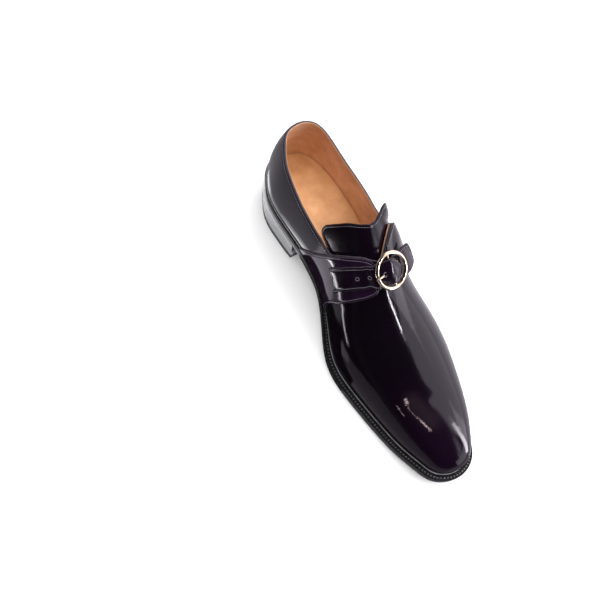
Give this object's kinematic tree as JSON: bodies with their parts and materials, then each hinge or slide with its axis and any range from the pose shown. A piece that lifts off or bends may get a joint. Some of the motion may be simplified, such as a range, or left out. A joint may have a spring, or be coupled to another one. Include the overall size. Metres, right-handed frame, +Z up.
{
  "type": "monk strap shoe",
  "caption": "Left slip-on dress shoe: hollow polished leather upper, strap through a round ring buckle on the instep, standing tongue, welted sole and stacked heel.",
  "frame": {"origin": "on the floor, under the middle of the shoe's bounding box", "axes": "+Z up; the toe points along -Y and the heel along +Y; +X is the lateral (outer) side of this left shoe and -X the medial side"},
  "size_m": [0.1008, 0.3034, 0.1139],
  "materials": {
    "polished_leather": "near-black aubergine, high gloss",
    "sole_leather": "black edge dressing, satin",
    "insole_leather": "natural tan, matt",
    "heel_leather": "stacked leather, black and waxed",
    "heel_rubber": "matt black",
    "polished_brass": "polished, pale gold"
  },
  "bodies": {
    "root": {"outsole": "sole_leather", "welt": "sole_leather", "heel_rand": "sole_leather", "insole": "insole_leather", "heel_base": "heel_leather", "top_piece": "heel_rubber", "upper": "polished_leather", "tongue": "polished_leather", "strap_panel": "polished_leather", "buckle_panel": "polished_leather", "strap": "polished_leather", "buckle_ring": "polished_brass", "buckle_prong": "polished_brass", "buckle_keeper": "polished_leather"}
  },
  "joints": []
}
